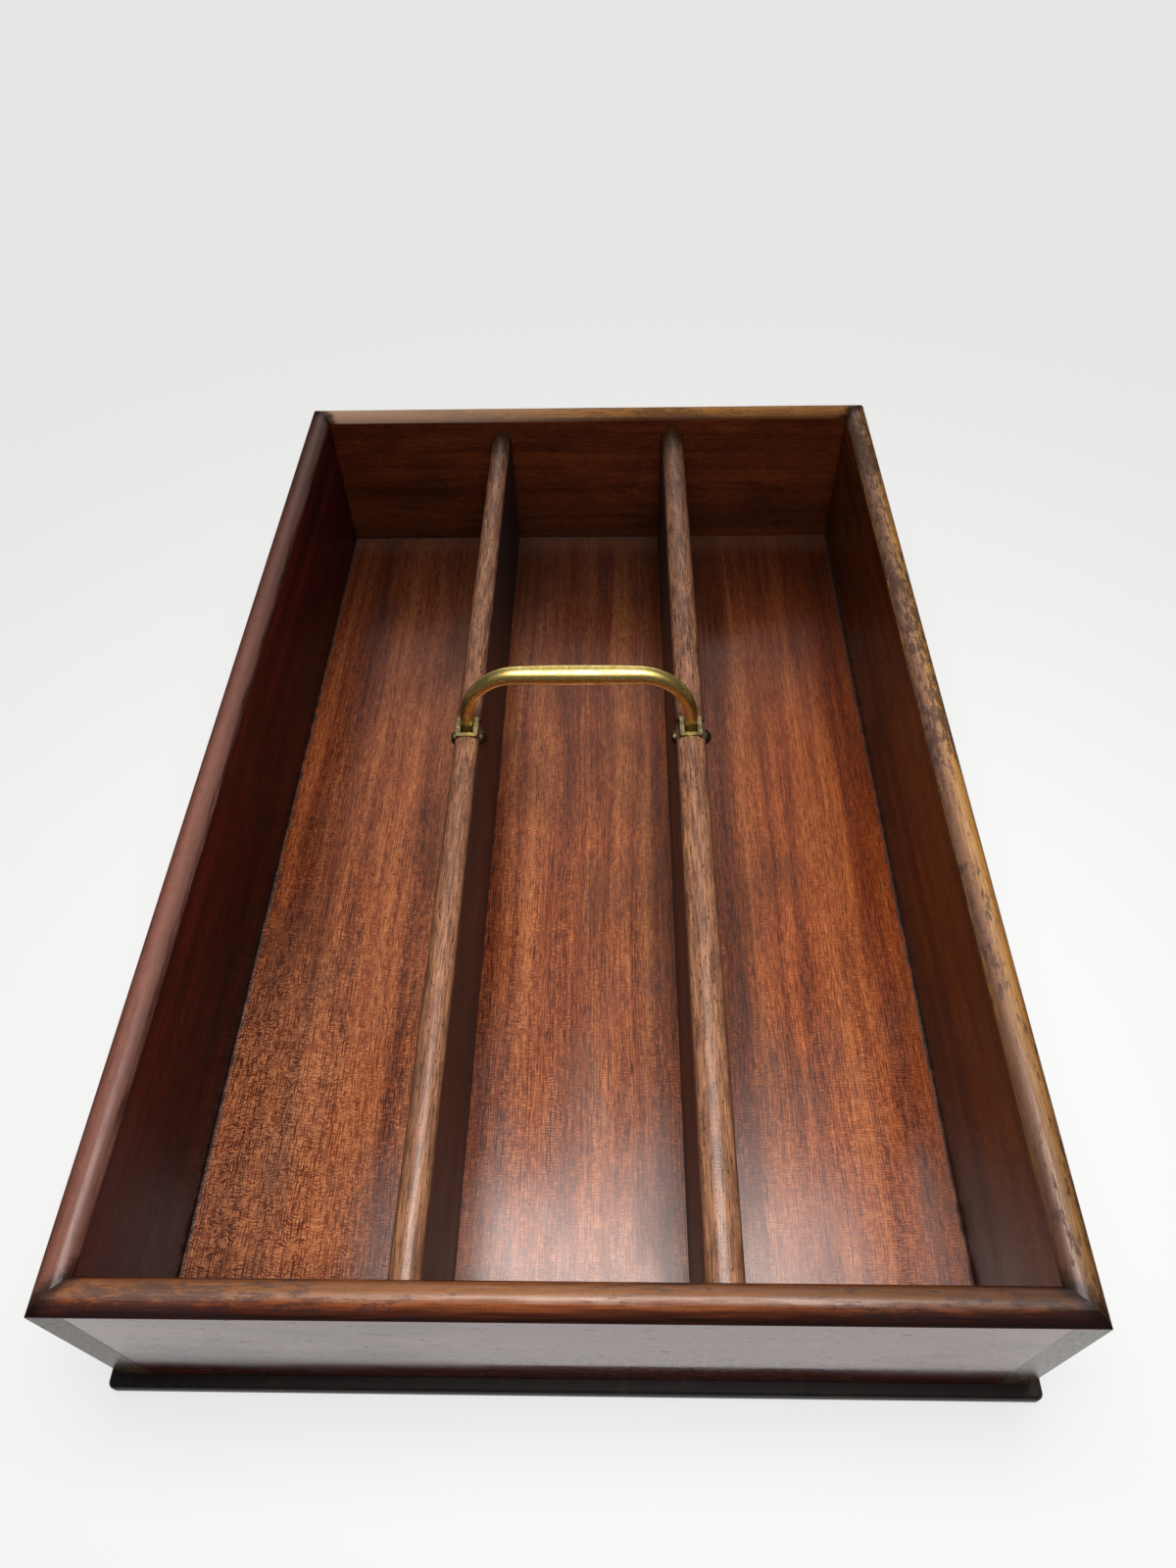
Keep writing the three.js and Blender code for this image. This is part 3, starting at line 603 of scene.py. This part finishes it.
wall_board("lapped_side_right", "side_board_right", 1,
           wall_woods("worn brown", 1, ("#240d05", "#502309", "#783d0f"), 0.22, (0.22, 0.4), right_rim,
                      (("#3a2016", 0.65), ("#a06c3c", 0.1)), "#3e2a28", 0.8, crazed_at_the_back), 5)
wall_board("butted_end_front", "end_board_front", 0,
           wall_woods("glossy", 0, ("#5a1c15", "#762a20", "#8c3a2a"), 0.09, (0.56, 0.55), front_rim,
                      (("#5a2a16", 0.1), ("#1c0d09", 0.7)), "#22232a", 0.6, crazed_a_little), 7)
wall_board("butted_end_back", "end_board_back", 0,
           wall_woods("brown", 0, ("#421a10", "#6a3018", "#844220"), 0.28, (0.3, 0.1), back_rim,
                      (("#dcb49c", 0.85), ("#8a5430", 0.3)), "#5a3e30", 0.6, crazed_a_little), 11)


# Dividers
# Two long boards with half-round tops, pushed down into grooves in the end boards.
# Each is notched and morticed halfway along for its hinge bracket, and drilled across for the pivot.

divider_rise = 3.4 * mm
notch_half = 4.95 * mm
notch_floor = 64.3 * mm
mortise_half = 3.5 * mm
mortise_floor = 56.6 * mm
notch_wear = 0.25 * mm
divider_wear = 0.05 * mm
divider_hollow_depth = 0.1 * mm
divider_hollow_span = 12 * mm


def divider_board(name, node, material, seed):
    """One divider as a height field: its section carried along Y, pushed down inside the bracket's notch.

    Stations and section points are doubled at the notch's ends and the mortise's sides, so that the
    doubled ones make the upright walls.
    """
    low, high = (np.array(corner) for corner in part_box(node))
    middle = (low[0] + high[0]) / 2
    half = (high[0] - low[0]) / 2
    face, arc = round_top_outline(2 * half, low[2], high[2], divider_rise, 22)
    radius = (half ** 2 + divider_rise ** 2) / (2 * divider_rise)
    lip = [mortise_half, high[2] - radius + np.sqrt(radius ** 2 - mortise_half ** 2)]
    outer = np.vstack([face, arc[arc[:, 0] > mortise_half], lip])
    inner = np.vstack([lip, arc[arc[:, 0] < mortise_half]])
    right = np.concatenate([outer, inner])
    in_mortise = np.concatenate([np.zeros(len(outer), bool), np.ones(len(inner), bool)])
    ring = np.concatenate([right, right[::-1] * (-1, 1)])
    in_mortise = np.concatenate([in_mortise, in_mortise[::-1]])
    run = np.concatenate([np.linspace(low[1], -notch_half - notch_wear, 70), [-notch_half, -notch_half]])
    stations = np.concatenate([run, -run[::-1]])
    in_notch = np.zeros(len(stations), bool)
    in_notch[len(run) - 1:len(run) + 1] = True
    worn_edge = np.zeros(len(stations))
    worn_edge[[len(run) - 2, len(run) + 1]] = notch_wear
    points = np.empty((len(stations), len(ring), 3))
    points[..., 0] = ring[:, 0] + middle
    points[..., 1] = stations[:, None]
    points[..., 2] = ring[:, 1]
    crown = np.clip((points[..., 2] - high[2] + divider_rise) / divider_rise, 0, 1)
    hollows = uneven(points, divider_hollow_span, divider_hollow_depth, seed)
    points[..., 2] -= crown * (worn_edge[:, None] + divider_wear + hollows)
    cut = np.where(in_mortise, mortise_floor, notch_floor)
    points[..., 2] = np.where(in_notch[:, None], np.minimum(points[..., 2], cut), points[..., 2])
    surface_piece(name, points, closed_loft(points), material, "tray", [node], sharp=16)


def divider_finish(tree, place, pattern, cell, colour, roughness, height):
    """A divider's worn tan, stained top, black old polish at its back end, and painted highlight and shade.
    """
    axes = add(tree, "SeparateXYZ", [place])
    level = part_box("divider_left")[1][2] - divider_rise

    # The worn top, in tan blots with stains, threads and specks, and a painted highlight at the front
    blot = add(tree, "Math", [pattern(0.4, 14, 3.0), 0.6, pattern(3.5, 16, 5.0, 0.65)],
               operation="MULTIPLY_ADD")
    worn = add(tree, "ValToRGB", [add(tree, "MapRange", [blot, 0.62, 1.08, 0.0, 1.0])],
               stops=[(0.0, "#b07c56"), (0.4, "#95644a"), (0.7, "#724c3a"), (1.0, "#3c2620")])
    stains = add(tree, "MapRange", [pattern(1.6, 4, 5.0, 0.7), 0.60, 0.68, 0.0, 0.6])
    worn = tinted(tree, worn, stains, "#2b1d1b")
    threads = add(tree, "MapRange", [pattern(0.32, 9, 4.0, 0.65), 0.46, 0.60, 0.0, 0.8])
    worn = tinted(tree, worn, threads, "#2e1b14")
    specks = add(tree, "MapRange", [pattern(0.7, 2.2, 2.0, 0.6), 0.60, 0.66, 0.0, 0.8])
    worn = tinted(tree, worn, specks, "#1c120e")
    painted_front_highlight = add(tree, "MapRange", [axes.outputs["Y"], -0.17, 0.02, 0.1, 0.0])
    worn = tinted(tree, worn, painted_front_highlight, "#c48c5c")

    # Old black polish at the back end, and painted shade on the side faces, darker toward it
    above = add(tree, "MapRange", [axes.outputs["Z"], level - 0.1 * mm, level + 1.6 * mm, 0.0, 1.0])
    colour = add(tree, "Mix", [above, colour, worn], data_type="RGBA")
    ragged = add(tree, "TexNoise", {"Vector": place, "Scale": 1 / (5 * mm), "Detail": 4.0})
    reach = add(tree, "Math", [ragged, 16 * mm, axes.outputs["Y"]], operation="MULTIPLY_ADD")
    black = add(tree, "MapRange", [reach, 0.172, 0.198, 0.0, 0.85], interpolation_type="SMOOTHSTEP")
    shade = add(tree, "MapRange", [reach, 0.04, 0.15, 0.9, 0.0], interpolation_type="SMOOTHSTEP")
    shade = add(tree, "MapRange", [add(tree, "Math", [shade, above], operation="ADD"), 0.0, 0.9, 0.85, 0.0])
    colour = tinted(tree, colour, shade, "#0c0403")
    return tinted(tree, colour, black, "#1d120e"), add(tree, "Mix", [above, roughness, 0.34]), height


divider_mahogany = polished_mahogany("handled polished mahogany", 1, ("#280d07", "#3f180d", "#552413"),
                                     0.55, 0.3, 0.6, divider_finish)
divider_board("grooved_divider_left", "divider_left", divider_mahogany, 13)
divider_board("grooved_divider_right", "divider_right", divider_mahogany, 17)


# Hinge brackets, pivot screws and nuts
# Small brass castings sunk into the dividers, each a U open to the back that the bail's foot stands in.
# A domed screw crosses each divider below the surface and is held by a small nut.


def cast_brass(name, tones, roughness, pitting):
    """Cast yellow brass, hand-filed to a warm satin: tarnish in clouds 2.4 mm across and 0.45 mm pits."""
    material = bpy.data.materials.new(name)
    material.use_nodes = True
    tree = material.node_tree
    tree.nodes.clear()
    place = add(tree, "TexCoord").outputs["Object"]
    cloud = add(tree, "TexNoise",
                {"Vector": place, "Scale": 1 / (2.4 * mm), "Detail": 5.0, "Roughness": 0.65})
    colour = add(tree, "ValToRGB", [cloud], stops=[(0.34, tones[0]), (0.52, tones[1]), (0.70, tones[2])])
    pits = add(tree, "TexNoise", {"Vector": place, "Scale": 1 / (0.45 * mm), "Detail": 1.0})
    pits = add(tree, "MapRange", [pits, 0.63, 0.70, 0.0, pitting], interpolation_type="SMOOTHSTEP")
    colour = add(tree, "Mix", [pits, colour, linear("#2c2110")], data_type="RGBA")
    rough = add(tree, "MapRange", [cloud, 0.3, 0.7, roughness + 0.1, roughness - 0.06])
    dents = add(tree, "Math", [pits, -1.0, cloud], operation="MULTIPLY_ADD")
    surface = add(tree, "Bump", {"Strength": 0.35, "Distance": 0.08 * mm, "Height": dents})
    shader = add(tree, "BsdfPrincipled", {"Base Color": colour, "Metallic": 1.0, "Roughness": rough,
                                          "Normal": surface})
    add(tree, "OutputMaterial", {"Surface": shader})
    return material


dull_brass = cast_brass("tarnished cast brass", ("#6a5e40", "#aa9a6a", "#dccf9c"), 0.42, 0.8)
brown_brass = cast_brass("brown tarnished brass", ("#33291d", "#5a4a33", "#85734e"), 0.46, 0.8)
for side in ("left", "right"):
    merged_copy("let_in_bracket_" + side, "hinge_bracket_" + side, dull_brass, 0.22 * mm)
    merged_copy("domed_screw_" + side, "pivot_screw_" + side, brown_brass, 0)
    merged_copy("round_nut_" + side, "pivot_nut_" + side, brown_brass, 0)


# Bail handle
# A solid brass bail, cast and polished, thickest where the hand holds it and tapering down both legs.
# Its feet end in eyes that turn on the pivot screws. The top is rubbed bright, the underside is pitted.

bail_half = 41.2 * mm
bail_height = 28.3 * mm
bail_corner = 19.6 * mm
bail_lean = np.radians(9.5)
pivot_level = 61.5 * mm
grip_diameter = 7.2 * mm
leg_diameter = 4.8 * mm
foot_diameter = 4.2 * mm
foot_height = 6.6 * mm
eye_diameter = 5.4 * mm
eye_width = 4.2 * mm
pin_hole = 3.2 * mm
casting_ripple_height = 0.05 * mm
casting_ripple_span = 9 * mm


def bail_centreline(steps):
    """Points and directions of the bail in its own plane, at even distances.

    Half of it is a line up the leg, a quarter circle and a line to the middle, and the other half mirrors it.
    """
    straight = bail_height - bail_corner
    flat = bail_half - bail_corner
    quarter = np.pi / 2 * bail_corner
    length = straight + quarter + flat
    s = np.linspace(0, length, steps)
    turn = np.clip((s - straight) / bail_corner, 0, np.pi / 2)
    x = -bail_half + bail_corner * (1 - np.cos(turn)) + np.clip(s - straight - quarter, 0, None)
    z = np.minimum(s, straight) + bail_corner * np.sin(turn)
    half = np.column_stack([x, z])
    way = np.column_stack([np.sin(turn), np.cos(turn)])
    return np.vstack([half, half[-2::-1] * (-1, 1)]), np.vstack([way, way[-2::-1] * (1, -1)])


def leaned(points):
    """Turns points about the pivot's axis to the bail's rest lean, and lifts them to the pivot's level."""
    y = points[..., 1] * np.cos(bail_lean) + points[..., 2] * np.sin(bail_lean)
    z = points[..., 2] * np.cos(bail_lean) - points[..., 1] * np.sin(bail_lean) + pivot_level
    return np.stack([points[..., 0], y, z], axis=-1)


centres, ways = bail_centreline(90)

# The bar thins from its middle by the square of the distance, and each leg again toward its foot
share = np.clip(np.abs(centres[:, 0]) / bail_half, 0, 1)
fullness = np.clip((centres[:, 1] - foot_height) / (bail_height - bail_corner - foot_height), 0, 1)
thickness = (foot_diameter + (leg_diameter - foot_diameter) * fullness
             + (grip_diameter - leg_diameter) * (1 - share ** 2))
around = np.linspace(0, 2 * np.pi, 40, endpoint=False)
outward = thickness[:, None] / 2 * np.cos(around)
bail_points = np.stack([centres[:, :1] + ways[:, 1:] * outward,
                        thickness[:, None] / 2 * np.sin(around),
                        centres[:, 1:] - ways[:, :1] * outward], axis=-1)
bail_points += uneven(bail_points, casting_ripple_span, casting_ripple_height, 23)[..., None]
bail_faces = closed_loft(bail_points)

# The eyes: a ring's square section turned about the pivot's axis
eye_section = np.array([[-eye_width, eye_diameter], [eye_width, eye_diameter], [eye_width, pin_hole],
                        [-eye_width, pin_hole]]) / 2
turns = np.linspace(0, 2 * np.pi, 40, endpoint=False)
for side in (-bail_half, bail_half):
    eye = np.stack(np.broadcast_arrays(side + eye_section[None, :, 0],
                                       eye_section[:, 1] * np.cos(turns)[:, None],
                                       eye_section[:, 1] * np.sin(turns)[:, None]), axis=-1)
    index = np.arange(eye.shape[0] * 4).reshape(-1, 4) + bail_points.reshape(-1, 3).shape[0]
    ahead = np.roll(index, -1, axis=0)
    eye_faces = np.stack([index, ahead, np.roll(ahead, -1, axis=1), np.roll(index, -1, axis=1)], axis=-1)
    bail_points = np.vstack([bail_points.reshape(-1, 3), eye.reshape(-1, 3)])
    bail_faces = np.vstack([bail_faces, eye_faces.reshape(-1, 4)])

bright_brass = cast_brass("satin cast brass", ("#d2b25e", "#ecd07c", "#fae8a6"), 0.36, 0.65)
surface_piece("polished_bail", leaned(bail_points), bail_faces, bright_brass, "handle",
              ["handle_bail"], sharp=35)


# Hidden fixings
# Fine iron pins through the lapped corners, and countersunk iron screws up through the base board.
# They are the solids of the frame as they are, in rusty iron.


def dull_iron():
    """Old wrought iron, oxidised dark: brown rust in clouds 1.5 mm across over grey metal."""
    material = bpy.data.materials.new("oxidised iron")
    material.use_nodes = True
    tree = material.node_tree
    tree.nodes.clear()
    place = add(tree, "TexCoord").outputs["Object"]
    rust = add(tree, "TexNoise", {"Vector": place, "Scale": 1 / (1.5 * mm), "Detail": 5.0, "Roughness": 0.7})
    colour = add(tree, "ValToRGB", [rust], stops=[(0.38, "#2e2b28"), (0.6, "#3a2820"), (0.75, "#553523")])
    metal = add(tree, "MapRange", [rust, 0.4, 0.62, 0.7, 0.1])
    rough = add(tree, "MapRange", [rust, 0.4, 0.7, 0.6, 0.9])
    surface = add(tree, "Bump", {"Strength": 0.4, "Distance": 0.08 * mm, "Height": rust})
    shader = add(tree, "BsdfPrincipled", {"Base Color": colour, "Metallic": metal, "Roughness": rough,
                                          "Normal": surface})
    add(tree, "OutputMaterial", {"Surface": shader})
    return material


iron = dull_iron()
for node_name, node_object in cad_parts.items():
    if node_name.startswith(("corner_pin", "base_screw")):
        node_object.data.materials.clear()
        node_object.data.materials.append(iron)


# Setting
# A wide white paper floor, a soft lamp overhead and pale surroundings.
# What mirrors in the polish is dimmer at the sides, where the room is, than straight ahead.

paper_seen = 0.74
paper_mirrored = 0.04
background_level = 0.95

ground = bpy.data.meshes.new("paper_floor")
ground.from_pydata([(-3, -3, 0), (3, -3, 0), (3, 3, 0), (-3, 3, 0)], [], [(0, 1, 2, 3)])
paper_floor = bpy.data.objects.new("paper_floor", ground)
bpy.context.collection.objects.link(paper_floor)
paper = bpy.data.materials.new("white paper")
paper.use_nodes = True
tree = paper.node_tree
tree.nodes.clear()
path = add(tree, "LightPath")
seen = add(tree, "Math", [path.outputs["Is Camera Ray"], path.outputs["Is Glossy Ray"]], operation="MAXIMUM")
matt = add(tree, "BsdfDiffuse", {"Color": linear("#f0f0ef")})
bright = add(tree, "Emission", {"Color": linear("#fdfdfc"), "Strength": 1.0})
seen = add(tree, "Math", [seen, paper_seen], operation="MULTIPLY")
glow = add(tree, "Math", [path.outputs["Is Glossy Ray"], paper_mirrored, seen], operation="MULTIPLY_ADD")
add(tree, "OutputMaterial", {"Surface": add(tree, "MixShader", [glow, matt, bright])})
ground.materials.append(paper)

world = bpy.data.worlds.new("white surroundings")
bpy.context.scene.world = world
world.use_nodes = True
tree = world.node_tree
tree.nodes.clear()
path = add(tree, "LightPath")
heading = add(tree, "SeparateXYZ", [add(tree, "TexCoord").outputs["Generated"]])
tent = add(tree, "MapRange", [heading.outputs["Y"], -0.5, 0.5, 0.08, 1.0], interpolation_type="SMOOTHSTEP")
ahead = add(tree, "MapRange", [heading.outputs["Y"], 0.10, 0.60, 0.05, 0.65], interpolation_type="SMOOTHSTEP")
horizon = add(tree, "MapRange", [heading.outputs["Y"], 0.80, 0.95, 0.0, 0.8],
              interpolation_type="SMOOTHSTEP")
beside = add(tree, "Math", [add(tree, "Math", [heading.outputs["X"], 0.03], operation="ADD")],
             operation="ABSOLUTE")
sheen_light = add(tree, "MapRange", [beside, 0.12, 0.34, 1.0, 0.12], interpolation_type="SMOOTHSTEP")
mirrored = add(tree, "Math", [ahead, sheen_light, horizon], operation="MULTIPLY_ADD")
tent = add(tree, "Math", [tent, 0.55], operation="MULTIPLY")
level = add(tree, "Mix", [path.outputs["Is Glossy Ray"], tent, mirrored])
level = add(tree, "Mix", [path.outputs["Is Camera Ray"], level, background_level])
surroundings = add(tree, "Background", {"Color": linear("#fbfbfa"), "Strength": level})
tree.links.new(surroundings.outputs[0], tree.nodes.new("ShaderNodeOutputWorld").inputs["Surface"])

lamp = bpy.data.lights.new("overhead", "AREA")
lamp.shape = "RECTANGLE"
lamp.size = 0.32
lamp.size_y = 0.24
lamp.spread = np.radians(100)
lamp.energy = 0.94
lamp_object = bpy.data.objects.new("overhead", lamp)
lamp_object.location = (0.032, -0.11, 0.50)
lamp_object.visible_camera = False
bpy.context.collection.objects.link(lamp_object)

camera = bpy.data.cameras.new("camera")
camera.sensor_fit = "AUTO"
camera.sensor_width = 36.0
camera.lens = 24.405
camera.clip_start = 0.01
camera_object = bpy.data.objects.new("camera", camera)
camera_object.location = (0.01319, -0.26377, 0.35685)
camera_object.rotation_euler = np.radians((39.263, 1.183, 0.827))
bpy.context.collection.objects.link(camera_object)
bpy.context.scene.camera = camera_object

bpy.context.scene.view_settings.view_transform = "Standard"
